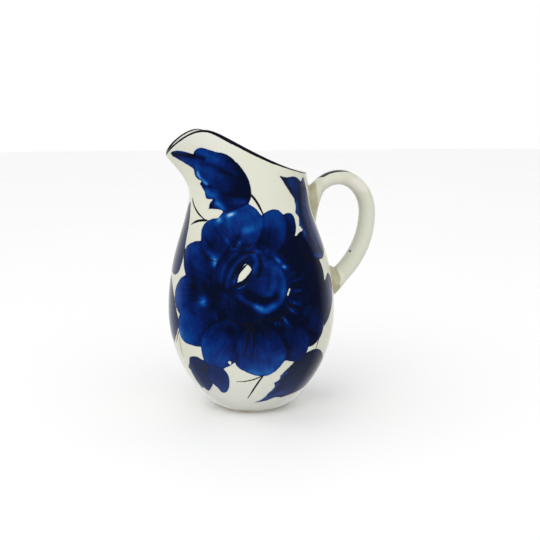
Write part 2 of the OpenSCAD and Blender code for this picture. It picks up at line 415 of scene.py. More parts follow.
def petal_lights(art):
    """Soft lights where the washes ran thin, and shades where they pooled. The brightest light on
    the left petal, at (-15, 67.2), is a painted highlight.
    """
    art.patches(
        ((-1.5, 80), (4.5, 1.5), 12, -0.26), ((-9, 83), (1.4, 4.2), 10, -0.22),
        ((-12.6, 83), (1.6, 0.8), 30, -0.3), ((-17.4, 73), (3.4, 5), 0, 0.1),
        # the light at (-15, 67.2) is a painted highlight
        ((-9.6, 75.6), (0.9, 1.6), 30, -0.34), ((-15, 67.2), (1.7, 3), 22, -0.78),
        ((-18, 71), (1.8, 1), -45, -0.26), ((-25, 71.4), (4, 2), 24, -0.14),
        ((-27, 63), (2, 5), 10, 0.14), ((-20.3, 51.4), (2.4, 2), 0, -0.62),
        ((-35, 50), (2, 6), 16, -0.1), ((-26, 55), (3.5, 2.5), 0, 0.14),
        ((-14.5, 45.5), (0.9, 2.8), 14, -0.22), ((-29, 40), (1.8, 4), 30, -0.08),
        ((-17, 28), (2.5, 3), 0, 0.08), ((9.6, 43.6), (0.6, 1.2), 10, -0.6),
        ((11.5, 43.2), (0.6, 0.8), 0, -0.42), ((8.4, 83), (3.6, 3), 0, -0.05),
        ((17, 79.5), (1.6, 4), 16, 0.12), ((24.6, 77), (1.6, 2.6), 30, -0.2),
        ((13.4, 47), (2.4, 1.6), 30, -0.16), ((3, 41), (7, 3), 0, 0.12),
        ((-10, 41), (5, 2.5), -20, 0.12), ((20, 80), (1.2, 3), 24, 0.16),
        ((12.6, 79), (1.1, 4.4), 8, -0.12), ((-6.4, 31), (0.9, 5), 8, 0.16),
        ((-4.5, 79), (0.8, 3.4), -20, 0.16), ((-16, 61), (1.6, 5), 6, 0.12),
        ((24, 47), (2.6, 1.4), 40, -0.14), ((-26.4, 46.4), (3.6, 0.8), -24, 0.16),
        ((-32, 57), (1, 2.6), 30, -0.1), ((12, 28.6), (2.6, 1.2), 30, -0.1),
        ((19.6, 30), (1.6, 2.6), 30, -0.08))


def throat(art, seed):
    """The dark middle of the flower, and the tips of the petals that fold into it."""
    art.wash(drawn((-15.5, 64), (-14, 52), (-6, 45.5), (4, 43.6), (13, 45), (18.6, 53),
                   (18, 64), (12, 70.4), (4, 74.6), (-7, 74)), (2, 52), (2, 76), 1, 0.94,
             shade=0.05, seed=seed + 3)
    art.patches(
        ((-13, 64), (2.2, 7), -8, -0.2), ((-7.6, 62), (2, 4.5), -10, -0.24),
        ((-3, 52.6), (4.5, 1), -32, -0.22), ((7, 71), (5, 1.4), -14, -0.14),
        ((15.6, 62), (1.2, 5), 0, -0.1), ((-10, 54), (3, 1.2), -30, -0.14),
        ((-5, 74.8), (0.8, 1.2), 0, -0.4), ((-6.6, 72.6), (1.6, 0.5), 0, -0.3),
        ((2.6, 71.8), (1.8, 0.6), -30, -0.42), ((-1, 73), (1.6, 0.9), 10, -0.2))


def cup(art, seed):
    """The closed petals in the middle, with the slot of bare porcelain between them."""
    art.wash(drawn((-8.6, 59), (-6, 53.6), (-0.6, 50.6), (4.6, 47.2), (9.6, 48.6),
                   (13.6, 53), (14.4, 58.6), (12, 64.6), (7, 69), (1, 71.6), (-4.6, 70),
                   (-8, 65.6)), (-6, 58), (15, 58), 0.92, 0.8, rim=0.02, shade=0.06,
             seed=seed + 90)
    art.sweeps(
        ([(10.4, 65), (13.6, 58.6), (10.4, 50.4)], 1.7, -0.22),
        ([(5, 68), (9.4, 61), (7.4, 55)], 1.8, -0.16),
        ([(1, 62), (4.6, 60.6), (6, 57)], 2.2, -0.04),
        ([(6.4, 69), (7.4, 63), (6, 57)], 0.7, 0.1),
        ([(9, 67), (11, 61), (9.4, 55)], 0.7, 0.08),
        ([(2.6, 70), (3.8, 66), (2.6, 62)], 0.6, 0.24),
        ([(-9.8, 58), (-8, 64), (-3, 69.4)], 0.7, -0.24),
        ([(-12, 60), (-10.6, 66), (-6, 71)], 0.6, -0.2),
        ([(-14, 57), (-13.4, 66), (-9, 72)], 0.6, 0.12),
        ([(-1, 54.6), (5, 52.4), (10, 54)], 1.7, 0.34),
        ([(-5, 54.6), (-1, 52), (4, 49.8)], 0.9, -0.26),
        ([(2, 50.2), (5.4, 48.8), (8.6, 50.4)], 1.5, -0.36),
        ([(0.6, 64.6), (2, 67.4), (1.2, 70.6)], 1.2, -0.34),
        ([(-7, 59.6), (-6.4, 61), (-5.8, 62)], 0.8, -0.3),
        ([(-5.4, 57.4), (-4, 57.9), (-2.6, 58.8)], 0.35, -0.55))
    art.bare(drawn((-5.4, 59.8), (-5.4, 59.8), (-3.2, 60.8), (-0.4, 64), (-0.2, 65.4),
                   (-2.2, 67), (-3.2, 66), (-4.9, 62.4)))
    art.lines(
        ([(-6, 61.6), (-3.9, 64.6), (-1.4, 67)], 0.8),
        ([(-7, 58.2), (-3, 59.2), (0.6, 64.6)], 0.9),
        ([(-7.6, 60.6), (-5.2, 66.4), (-0.4, 69.6)], 0.7),
        ([(-3, 71), (2.2, 70.4), (5, 65)], 0.7), layer="b", taper=(0.2, 0.3))


def flower_details(art):
    """Specks of bare porcelain, painted highlights on the petals and the veins."""
    for shape in (drawn((14.7, 53.4), (15.3, 56), (16.3, 57.4), (15.9, 55.6)),
                  drawn((-9.7, 27), (-8.7, 27.3), (-8.1, 26.2), (-9.1, 25.9)),
                  drawn((-7.4, 26.2), (-6.6, 26.4), (-6.2, 24.8), (-7, 24.6))):
        art.bare(shape)
    # painted highlights: whitish soft spots on the petals
    art.patches(
        ((11, 68), (1.9, 0.8), -40, -0.66), ((13.6, 65.4), (1.3, 0.8), -30, -0.86),
        ((-8.2, 86), (2.2, 0.9), 20, -0.62), ((-13.2, 84), (1.5, 0.8), 34, -0.5))
    art.lines(
        ([(-1.8, 43.4), (-1.5, 37), (-3, 29.6)], 1),
        ([(0.2, 43.4), (1, 37), (0.4, 30)], 1), ([(3, 43), (6.6, 39.6), (8.2, 34)], 0.75),
        ([(5, 45.2), (-3, 43.2), (-11, 46)], 0.8), ([(5, 45.4), (12.6, 46), (17, 52)], 0.8),
        ([(-29, 56.2), (-24.6, 57), (-20, 55.4)], 0.6),
        ([(-19.6, 70), (-17, 68), (-13.4, 67.8)], 0.6), ([(21, 75), (24, 69), (29, 64)], 0.7),
        taper=(0.25, 0.5))


def direction(a):
    return np.array([math.cos(a), math.sin(a)])


def stamens(art, seed):
    """A comb of short strokes over the cup and a fan of them at its right, each with a
    light beside it."""
    rng = np.random.default_rng(seed)
    for k in range(7):
        u = -8.5 + 2.0 * k + rng.uniform(-0.9, 0.9)
        z = 71.8 + 1.4 * math.sin(0.5 + 0.5 * k) + rng.uniform(-0.6, 0.8)
        tip = (u + rng.uniform(-1.6, 1.6), z + rng.uniform(1, 2.8))
        art.line([(u, z), tip], rng.uniform(0.3, 0.55), "ab"[k % 2])
        art.patch((tip[0] + 0.9, tip[1] - 0.4), (0.5, 1), rng.uniform(-30, 30), -0.16)
    fan = 6
    for k in range(fan):
        a = math.radians(-58 + 15 * k + rng.uniform(-3, 3))
        near, far = 12.8, rng.uniform(15.6, 18)
        art.line([CUP + near * direction(a), CUP + far * direction(a)],
                 rng.uniform(0.35, 0.6), "ab"[k % 2])
        beside = a + 0.12
        art.patch(CUP + 15.8 * direction(beside), (2.4, 0.42), math.degrees(beside),
                  -0.20 - 0.13 * (fan - 1 - k))


def peony(art, seed):
    petals(art, seed)
    petal_lights(art)
    throat(art, seed)
    cup(art, seed)
    flower_details(art)
    stamens(art, seed)


def side_leaves(art, seed):
    """The leaf that droops beside the flower, and the one under it."""
    art.wash(drawn((-31, 90), (-31, 90), (-30.6, 82), (-32, 74), (-33.4, 67), (-37, 61),
                   (-43, 59.5), (-49, 62), (-49, 71), (-43, 80), (-36, 87)),
             (-40, 88), (-42, 62), 0.84, 0.76, rim=0.03, seed=seed + 1, slate=0.35)
    art.wash(drawn((-46, 59), (-46, 59), (-41, 52), (-38, 46), (-36, 41), (-37.6, 36),
                   (-43, 30), (-43, 30), (-50, 36), (-53, 46), (-51, 55)),
             (-46, 58), (-42, 32), 0.88, 0.72, rim=0.03, seed=seed + 2, slate=0.35)


def low_leaf(art, seed):
    """The low leaf on the handle's side, with long teeth."""
    art.wash(drawn((0.6, 6.8), (0.6, 6.8), (4.4, 8.8), (7.2, 12), (9.6, 14.6), (9.2, 16.8),
                   (9.2, 16.8), (11.6, 18.2), (12, 20), (12, 20), (15.6, 23.4), (20, 26.8),
                   (26, 29.4), (33, 29), (40, 23), (40, 16), (30, 11), (20, 9.4), (13, 8.4),
                   (13, 8.4), (10, 9), (6, 7.6)),
             (36, 24), (5, 8.4), 0.98, 0.66, rim=0.03, seed=seed + 4, slate=0.4)
    art.sweeps(
        ([(4, 9), (8, 12.4), (11, 16)], 0.6, -0.44),
        ([(10.4, 17.4), (12.4, 19.4), (15, 21.4)], 0.5, -0.46),
        ([(6, 8.8), (10, 10.6), (14, 11)], 0.8, -0.2),
        ([(3, 7.8), (12, 12), (20, 18)], 0.8, -0.1),
        ([(11, 15), (17, 21), (25, 28)], 1.6, 0.2),
        ([(9, 11.6), (18, 17), (28, 24)], 1.4, 0.12))


def far_leaf(art, seed):
    """The dark leaf at the far right of the flower."""
    art.wash(drawn((37, 57), (37, 57), (35, 50), (34.6, 44), (36, 38.6), (36, 38.6), (41, 42),
                   (47, 49), (47, 56), (42, 60)),
             (44, 58), (37, 40), 0.84, 0.72, seed=seed + 5, slate=0.35)


def handle_leaf(art, seed):
    """The leaf beside the handle, which laps over the flower."""
    art.wash(drawn((11.4, 101.4), (11.4, 101.4), (15, 100.6), (20, 100.6), (24.6, 98.4),
                   (24.6, 98.4), (27, 100), (30, 95), (34, 86), (40, 77), (43, 70), (38, 66.6),
                   (33, 67), (29, 71), (25.6, 75), (24, 76.8), (24, 76.8), (23.8, 79),
                   (21.8, 80.8), (21.8, 80.8), (21.8, 84), (19.8, 86), (19.8, 86),
                   (20.2, 88.6), (19.4, 91.6), (19.4, 91.6), (17, 94.4), (14, 98)),
             (40, 70), (15, 100), 0.86, 0.74, rim=0.03, shade=0.08, seed=seed + 3, slate=0.35)
    art.sweeps(
        ([(23.5, 98), (24, 86), (30, 72)], 1.1, 0.24),
        ([(21.2, 90), (22, 83), (25.6, 77)], 0.6, -0.42),
        ([(12, 101), (15, 98.6), (18, 93)], 0.7, 0.26),
        ([(16, 98), (18.4, 98), (20.4, 96)], 1.3, -0.1),
        ([(28, 94), (29, 84), (35, 73)], 0.9, -0.2),
        ([(33, 80), (36, 74), (39, 69)], 1, -0.22),
        ([(31, 68.4), (34.6, 67.6), (38, 67.6)], 0.9, -0.4))


def lip_leaf(art, seed):
    """The broad leaf under the lip."""
    art.wash(drawn((-29.8, 108), (-30.5, 109.3), (-29.4, 110.7), (-27.6, 111),
                   (-24.2, 109.6), (-24.2, 109.6), (-23.4, 111.2), (-20.6, 112.4),
                   (-14.6, 111), (-9.4, 109.8), (-4, 105.2), (-0.8, 99.6), (0.1, 95),
                   (-0.4, 91.4), (-2, 89.8), (-6, 88), (-10, 86.6), (-13, 87.8), (-18, 87.8),
                   (-18, 87.8), (-17.4, 90), (-15.8, 91.8), (-15.8, 91.8), (-19.2, 92),
                   (-20.2, 94.8), (-22.6, 97.6), (-22.6, 97.6), (-21.4, 98.8), (-21.4, 98.8),
                   (-24, 99.8), (-25.2, 101.6), (-25.4, 103.4), (-28, 105.6)),
             (-1, 96), (-24, 102), 1, 0.62, shade=0.2, seed=seed + 6, bend=0.7)
    art.sweeps(
        ([(-23.2, 102), (-21.6, 99.8), (-18.6, 97.8)], 0.9, -0.46),
        ([(-21.8, 98.6), (-19.6, 96.9), (-16.6, 96.9)], 0.7, 0.34),
        ([(-18.6, 94.8), (-17, 93.6), (-14.6, 93.6)], 1.7, -0.34),
        ([(-14.6, 90.4), (-12.8, 89.6), (-11.4, 88.2)], 1.3, -0.44),
        ([(-17, 88.4), (-16, 89.6), (-15.4, 91)], 0.9, 0.3),
        ([(-6, 91), (-4, 90.8), (-2, 91.2)], 1.5, -0.26),
        ([(-24, 104), (-18, 103), (-12, 101)], 1.5, -0.1),
        ([(-20, 110), (-16, 108.4), (-11, 106.6)], 0.8, -0.1),
        ([(-30, 109.4), (-25, 109), (-20, 108)], 1.1, 0.4),
        ([(-22, 106), (-15, 105), (-8, 102)], 0.7, 0.14),
        ([(-14, 94), (-9, 94), (-3, 95)], 1.6, 0.1),
        ([(-8, 108), (-3, 103), (-1.4, 94)], 2.4, 0.2),
        ([(-12, 104), (-7, 100), (-6, 93)], 2.6, 0.1))


def bud(art, seed):
    """A bud of three petals, the greyest first."""
    shapes = (
        (drawn((-30.4, 23), (-29.2, 26.2), (-25, 27.4), (-21, 26.2), (-17.6, 24), (-18, 20),
               (-24, 18), (-29, 19.4), (-31.6, 20.8)), (-18, 22), (-30, 25), 0.84, 0.7),
        (drawn((-30, 20), (-26, 21.6), (-19, 20), (-17, 16), (-18.6, 12.4), (-20.4, 10.8),
               (-23, 12), (-24.6, 11.6), (-27.4, 14.6)), (-20, 20), (-24, 11), 0.8, 0.66),
        (drawn((-18.4, 24.6), (-14.6, 24.6), (-10.6, 22.4), (-9.2, 18), (-9.8, 13.6),
               (-11.4, 11.6), (-13.4, 11.8), (-14.6, 13.6), (-16.4, 15), (-19, 19)),
         (-15, 24), (-11, 13), 0.76, 0.6))
    for k, shape in enumerate(shapes):
        art.wash(*shape, rim=0.03, seed=seed + 20 + k, slate=0.55 - 0.15 * k)


def stalks(art):
    art.lines(
        ([(-0.8, 94.4), (2.2, 91), (5.2, 85)], 1),
        ([(-29.4, 91.6), (-25.6, 87), (-19, 83)], 0.95),
        ([(-18.4, 83.2), (-24, 82.6), (-28.6, 80.8)], 1, "b"),
        ([(5, 21.2), (1.8, 16), (-1.6, 9.4)], 0.8),
        ([(4.6, 21), (0, 18.8), (-6, 17.8)], 0.6, "b"),
        ([(33, 38), (32, 33), (29.6, 28)], 0.6),
        ([(-36, 37), (-38, 33.6), (-40, 31)], 0.6),
        ([(-36, 34), (-35.6, 29), (-34, 25)], 0.4, "b"),
        ([(-32.4, 71), (-32, 67), (-30.6, 63)], 1.1))


def spray(art, seed):
    """The peony with its leaves, bud and stalks."""
    side_leaves(art, seed)
    low_leaf(art, seed)
    far_leaf(art, seed)
    peony(art, seed)
    handle_leaf(art, seed)
    lip_leaf(art, seed)
    bud(art, seed)
    stalks(art)


FRONT_SEED, BACK_SEED = 11, 500
BACK_AZIMUTH = CAM_AZIMUTH + 168


def paint_jug(art):
    """The same spray on both sides; the back one is mirrored so both lean to the lip."""
    art.face(BACK_AZIMUTH, flip=-1)
    spray(art, BACK_SEED)
    art.face(CAM_AZIMUTH)
    spray(art, FRONT_SEED)


# -------- node helpers
BUMP_STRENGTH = 0.35


class Nodes:
    """A material's node tree. A value may be a number, a colour or a node's output."""

    def __init__(self, name):
        self.material = bpy.data.materials.new(name)
        self.material.use_nodes = True
        self.tree = self.material.node_tree
        self.tree.nodes.clear()
        self.out = self.tree.nodes.new("ShaderNodeOutputMaterial")

    def new(self, kind, **settings):
        node = self.tree.nodes.new(kind)
        for key, value in settings.items():
            setattr(node, key, value)
        return node

    def put(self, socket, value):
        if isinstance(value, bpy.types.NodeSocket):
            self.tree.links.new(value, socket)
        elif value is not None:
            socket.default_value = value

    def math(self, op, a, b=None, c=None, clamp=False):
        node = self.new("ShaderNodeMath", operation=op, use_clamp=clamp)
        for socket, value in zip(node.inputs, (a, b, c)):
            self.put(socket, value)
        return node.outputs[0]

    def step(self, value, lo, hi):
        """What smooth does, as a node."""
        node = self.new("ShaderNodeMapRange", interpolation_type="SMOOTHSTEP")
        for socket, x in zip(node.inputs, (value, lo, hi, 0.0, 1.0)):
            self.put(socket, x)
        return node.outputs[0]

    def number(self, name):
        node = self.new("ShaderNodeAttribute", attribute_name=name)
        return node.outputs["Fac"]

    def noise(self, vector, scale, detail=2.0, rough=0.5):
        node = self.new("ShaderNodeTexNoise")
        self.put(node.inputs["Vector"], vector)
        node.inputs["Scale"].default_value = scale
        node.inputs["Detail"].default_value = detail
        node.inputs["Roughness"].default_value = rough
        return node.outputs["Fac"]

    def place(self):
        return self.new("ShaderNodeTexCoord").outputs["Object"]

    def join(self, x, y, z=0.0):
        node = self.new("ShaderNodeCombineXYZ")
        for socket, value in zip(node.inputs, (x, y, z)):
            self.put(socket, value)
        return node.outputs[0]

    def blend(self, fac, a, b):
        """Colour a turning into b. The Mix node's colours are inputs 6 and 7, output 2."""
        node = self.new("ShaderNodeMix", data_type="RGBA")
        self.put(node.inputs[0], fac)
        self.put(node.inputs[6], a)
        self.put(node.inputs[7], b)
        return node.outputs[2]

    def ramp(self, fac, stops):
        node = self.new("ShaderNodeValToRGB")
        self.put(node.inputs[0], fac)
        elements = node.color_ramp.elements
        while len(elements) < len(stops):
            elements.new(0.5)
        for element, (place, colour) in zip(elements, stops):
            element.position = place
            element.color = colour
        return node.outputs[0]

    def finish(self, colour, roughness, bump_height=None, bump_distance=0.0002,
               ior=1.5, specular=0.5):
        shader = self.new("ShaderNodeBsdfPrincipled")
        self.put(shader.inputs["Base Color"], colour)
        self.put(shader.inputs["Roughness"], roughness)
        shader.inputs["IOR"].default_value = ior
        shader.inputs["Specular IOR Level"].default_value = specular
        if bump_height is not None:
            bump = self.new("ShaderNodeBump")
            bump.inputs["Strength"].default_value = BUMP_STRENGTH
            bump.inputs["Distance"].default_value = bump_distance
            self.put(bump.inputs["Height"], bump_height)
            self.put(shader.inputs["Normal"], bump.outputs[0])
        self.put(self.out.inputs["Surface"], shader.outputs[0])
        return self.material


def srgb(r, g, b):
    """A colour given in 0 to 255 display values."""
    return tuple(((c / 255 + 0.055) / 1.055) ** 2.4 if c > 10 else c / 255 / 12.92
                 for c in (r, g, b)) + (1.0,)


CREAM = srgb(211, 212, 196)
CREAM_WARM = srgb(205, 205, 187)
CREAM_PAINTED_COOL = srgb(214, 215, 208)
COBALT = [(0.0, srgb(160, 188, 214)), (0.2, srgb(70, 126, 182)), (0.35, srgb(8, 83, 152)),
          (0.5, srgb(0, 55, 126)), (0.65, srgb(0, 36, 104)), (0.8, srgb(0, 21, 76)),
          (1.0, srgb(1, 9, 36))]
SLATE = srgb(36, 45, 64)
INK = srgb(13, 15, 24)
RIM_INK = srgb(10, 12, 26)
SPECK = (43.2, -2.0, 66.9)      # a pin-hole in the glaze of the handle, mm
SPECK_OUTER, SPECK_INNER = 0.64 * MM, 0.48 * MM
# painted light: the cream is cooler and paler towards the foot and the crest, standing in for the
# light there; heights where that starts and ends
COOL_LOW = (32 * MM, 6 * MM)
COOL_HIGH = (106 * MM, 120 * MM)


def porcelain(m, where):
    """Cream glaze with slow changes of warmth, painted light that makes it cooler and paler towards
    the foot and the crest, and a few pin-head specks.
    """
    slow = m.noise(where, 28.0, 2.0)
    body = m.blend(m.step(slow, 0.35, 0.7), CREAM, CREAM_WARM)
    height = m.new("ShaderNodeSeparateXYZ")
    m.put(height.inputs[0], where)
    low = m.step(height.outputs["Z"], *COOL_LOW)
    high = m.step(height.outputs["Z"], *COOL_HIGH)
    # painted light: cooler, paler cream near the foot and the crest
    body = m.blend(m.math("MULTIPLY", m.math("MAXIMUM", low, high), 0.8), body, CREAM_PAINTED_COOL)
    speck = m.new("ShaderNodeTexVoronoi")
    m.put(speck.inputs["Vector"], where)
    speck.inputs["Scale"].default_value = 95.0
    dot = m.step(speck.outputs["Distance"], 0.045, 0.02)
    return m.blend(m.math("MULTIPLY", dot, 0.35), body, srgb(120, 105, 80))


def glaze_height(m, where):
    """Faint pull and orange peel of a fired glaze."""
    wide = m.noise(where, 55.0, 1.0)
    fine = m.noise(where, 420.0, 1.0)
    return m.math("ADD", wide, m.math("MULTIPLY", fine, 0.12))


def painted_glaze():
    m = Nodes("painted_glaze")
    where = m.place()
    base = porcelain(m, where)
    paint, tone = m.number("paint"), m.number("tone")
    streak_at = m.join(m.math("MULTIPLY", m.number("brush_s"), 0.7),
                       m.math("MULTIPLY", m.number("brush_q"), 0.12))
    streak = m.noise(streak_at, 1.0, 3.0, 0.55)
    pool = m.noise(where, 130.0, 3.0, 0.6)
    shaky = m.math("MULTIPLY_ADD", m.noise(where, 900.0, 2.0), 0.5, -0.25)
    edge = m.math("ADD", paint, shaky)
    depth = m.math("MULTIPLY_ADD", m.math("SUBTRACT", streak, 0.5), 0.26, tone)
    depth = m.math("MULTIPLY_ADD", m.math("SUBTRACT", pool, 0.5), 0.5, depth)
    rim_of_wash = m.math("MULTIPLY", m.step(edge, 0.9, 0.15), 0.12)
    depth = m.math("ADD", depth, rim_of_wash, clamp=True)
    cobalt = m.blend(m.number("slate"), m.ramp(depth, COBALT), SLATE)
    bleed = m.math("MULTIPLY", m.step(edge, -1.1, 0.1), 0.10)
    colour = m.blend(bleed, base, srgb(120, 160, 215))
    colour = m.blend(m.step(edge, -0.10, 0.14), colour, cobalt)
    for layer in "ab":
        gap = m.math("ABSOLUTE", m.number("ink_" + layer))
        half = m.math("MULTIPLY", m.number(f"ink_{layer}_w"), 0.5)
        inside = m.math("ADD", m.math("SUBTRACT", half, gap), m.math("MULTIPLY", shaky, 0.5))
        colour = m.blend(m.step(inside, -0.08, 0.08), colour, INK)
    band = m.math("ADD", m.number("rim_line"), m.math("MULTIPLY", shaky, 0.8))
    colour = m.blend(m.step(band, -0.08, 0.14), colour, RIM_INK)
    rough = m.math("MULTIPLY_ADD", m.noise(where, 70.0, 2.0), 0.06, 0.10)
    return m.finish(colour, rough, glaze_height(m, where), specular=0.3)


def handle_glaze():
    m = Nodes("handle_glaze")
    where = m.place()
    # painted shade: the handle's cream is taken a third of the way to grey-green, a shaded copy of
    # the porcelain
    base = m.blend(0.3, porcelain(m, where), srgb(198, 200, 184))
    base = m.blend(m.step(m.noise(where, 75.0, 2.0), 0.5, 0.66), base, srgb(216, 212, 202))
    # painted shade in the creases at the handle's two ends
    root = slip_crease_shade(m, where, base)
    shaky = m.math("MULTIPLY_ADD", m.noise(where, 700.0, 2.0), 0.6, -0.3)
    stroke = m.math("ADD", m.number("stroke"), shaky)
    colour = m.blend(m.step(stroke, -0.1, 0.2), root, RIM_INK)
    from_speck = m.new("ShaderNodeVectorMath", operation="DISTANCE")
    m.put(from_speck.inputs[0], where)
    from_speck.inputs[1].default_value = [x * MM for x in SPECK]
    dark = m.step(from_speck.outputs["Value"], SPECK_OUTER, SPECK_INNER)
    colour = m.blend(dark, colour, srgb(30, 26, 30))
    rough = m.math("MULTIPLY_ADD", m.noise(where, 70.0, 2.0), 0.06, 0.10)
    return m.finish(colour, rough, glaze_height(m, where), specular=0.5)


def slip_crease_shade(m, where, base):
    """Painted shade: the cream turns a darker olive in a ragged band where the slip meets the wall,
    standing in for the shade and dark reflection in that crease.
    """
    ragged = m.math("MULTIPLY_ADD", m.noise(where, 260.0, 3.0), 2.4, m.number("off_wall"))
    cloud = m.noise(where, 190.0, 3.0)
    olive_shade = m.ramp(cloud, [(0.3, srgb(160, 156, 126)), (0.55, srgb(176, 172, 144)),
                           (0.75, srgb(192, 188, 164))])
    return m.blend(m.step(ragged, 5.2, 4.1), base, olive_shade)


def slip_glaze():
    m = Nodes("slip_glaze")
    where = m.place()
    # painted shade in the crease where the slip meets the wall
    colour = slip_crease_shade(m, where, porcelain(m, where))
    rough = m.math("MULTIPLY_ADD", m.noise(where, 190.0, 3.0), 0.08, 0.12)
    return m.finish(colour, rough, glaze_height(m, where), 0.0003, specular=0.35)


def biscuit():
    m = Nodes("biscuit")
    where = m.place()
    grain = m.noise(where, 1800.0, 4.0, 0.7)
    stain = m.noise(where, 160.0, 3.0)
    colour = m.ramp(m.math("MULTIPLY_ADD", grain, 0.4, m.math("MULTIPLY", stain, 0.6)),
                    [(0.3, srgb(184, 174, 154)), (0.5, srgb(214, 207, 191)),
                     (0.7, srgb(226, 221, 208))])
    return m.finish(colour, m.math("MULTIPLY_ADD", grain, 0.2, 0.65), grain, 0.0001, ior=1.45)


# -------- pieces
COLUMNS = 336
LOW_ROWS, MID_ROWS, TOP_ROWS = 88, 84, 46
ROUND_ROWS, INNER_ROWS = 12, 50
CROWDING = 24.0     # degrees by which columns are drawn towards the lip


def body_section(phi):
    """[radius, height] of the whole wall, row by row: up the outside, over the rounded
    rim and down the inside. Also the number of rows on the outside."""
    outer_v = np.concatenate([np.arange(LOW_ROWS) / LOW_ROWS, 1 + np.arange(MID_ROWS) / MID_ROWS,
                              2 + np.arange(TOP_ROWS + 1) / TOP_ROWS])
    inner_v = 3 * (1 - np.arange(INNER_ROWS + 1) / INNER_ROWS)
    outer = outline(phi[None, :], outer_v[:, None])
    edge, dirs, outs = outline(phi, 3.0), along(phi, 3.0), out_of(phi, 3.0)
    middle = edge - outs * RIM_T / 2
    turn = np.radians(180 * np.arange(1, ROUND_ROWS) / ROUND_ROWS)[:, None, None]
    lip = middle + (outs * np.cos(turn) + dirs * np.sin(turn)) * RIM_T / 2
    thick = mix(WALL_T, RIM_T, np.clip(inner_v - 1, 0, None) / 2)
    inner = (outline(phi[None, :], inner_v[:, None])
             - out_of(phi[None, :], inner_v[:, None]) * thick[:, None, None])
    return np.concatenate([outer, lip, inner]), len(outer)


def rim_line(section, phi, top_row):
    """How far each point is inside the line painted round the rim, in mm along the
    section. top_row is the row on top of the rim."""
    steps = np.linalg.norm(np.diff(section, axis=0), axis=-1)
    run = np.concatenate([np.zeros((1, len(phi))), np.cumsum(steps, axis=0)])
    away = np.abs(180 - phi % 360)
    half = 1.35 - 0.2 * smooth(40, 70, away) - 0.72 * smooth(98, 140, away)
    drift = 0.10 * np.sin(np.radians(phi * 3 + 40)) + 0.06 * np.sin(np.radians(phi * 7))
    lower = 0.1 + 0.85 * smooth(36, 62, away) + 0.4 * smooth(100, 150, away) + drift
    # on the front side of the spout the line is thinner and sits lower
    past_tip = phi % 360 - 180
    spout = smooth(0, 6, past_tip) * (1 - smooth(24, 42, past_tip))
    lower, half = lower + 0.8 * spout, half - 0.55 * spout
    return (half - np.abs(run - run[top_row] + lower)).reshape(-1)


def build_body():
    t = 360 * np.arange(COLUMNS) / COLUMNS
    phi = t + CROWDING * np.sin(np.radians(t))
    section, outer_rows = body_section(phi)
    rings = len(section)
    points = around(np.broadcast_to(phi, section.shape[:2]), section).reshape(-1, 3)
    points = np.concatenate([points, [[0, 0, FOOT_H], [0, 0, FOOT_H + WALL_T]]])
    under, floor_mid = rings * COLUMNS, rings * COLUMNS + 1
    last = (rings - 1) * COLUMNS
    nxt = [(i + 1) % COLUMNS for i in range(COLUMNS)]
    fans = [(under, nxt[i], i) for i in range(COLUMNS)]
    fans += [(floor_mid, last + i, last + nxt[i]) for i in range(COLUMNS)]

    row = np.repeat(np.arange(rings), COLUMNS)
    art = Painting(np.tile(phi, rings), section[..., 1].reshape(-1), row <= outer_rows)
    paint_jug(art)
    marks = art.attributes()
    marks["rim_line"] = rim_line(section, phi, outer_rows - 1 + ROUND_ROWS // 2)
    marks = {k: np.concatenate([v, [v[0], FAR]]) for k, v in marks.items()}
    make_piece("body", points, ring_quads(rings, COLUMNS), fans,
               ("jug_body",), painted_glaze(), marks)


TOP_END, TOP_DIR = np.array([30.2, 95.8]), unit([0.77, 0.64])
LOW_END, LOW_DIR = np.array([40.0, 57.2]), unit([-0.7, -0.71])
REACH = np.array([51.1, 83.5])
TOP_PULL, REACH_PULL_UP, REACH_PULL_DOWN, LOW_PULL = 12.2, 12.4, 5.5, 14.2
SIDES, HANDLE_RINGS = 48, 150
STROKE_WIDTH, STROKE_END = 3.2, 0.62    # dark stroke down the handle's crown
# joints: height of the footprint's middle, its half height and half width; share of it
# swept over on the gap's side; straight run of slip behind the handle's end
UPPER_PRINT, UPPER_HUG, UPPER_LEAD = (87.2, 8.5, 7.0), 0.55, 2.2
LOWER_PRINT, LOWER_HUG, LOWER_LEAD = (54.2, 7.0, 6.4), 0.1, 0.9
SLIP_STAND = 1.6        # how far the slip stands off the wall before it turns
FILLET_RINGS, PATCH_RINGS = 24, 5


def handle_mid(t):
    """[x, z] of the handle's middle: t is 0 at the upper end and 2 at the lower one."""
    t = np.asarray(t, float)[..., None]
    one = bezier(TOP_END, TOP_END + TOP_DIR * TOP_PULL, REACH + [0, REACH_PULL_UP], REACH, t)
    two = bezier(REACH, REACH - [0, REACH_PULL_DOWN], LOW_END - LOW_DIR * LOW_PULL, LOW_END,
                 t - 1)
    return np.where(t <= 1, one, two)


def handle_ring(t):
    """The oval section at t."""
    d = handle_mid(min(t + 0.01, 2)) - handle_mid(max(t - 0.01, 0))
    d /= np.linalg.norm(d)
    s = 2 * np.pi * np.arange(SIDES) / SIDES
    thick = mix(HANDLE_T_TOP, HANDLE_T_LOW, t / 2)
    x = handle_mid(t)[0] - d[1] * np.cos(s) * thick / 2
    z = handle_mid(t)[1] + d[0] * np.cos(s) * thick / 2
    return np.stack([x, -np.sin(s) * HANDLE_W / 2, z], -1)


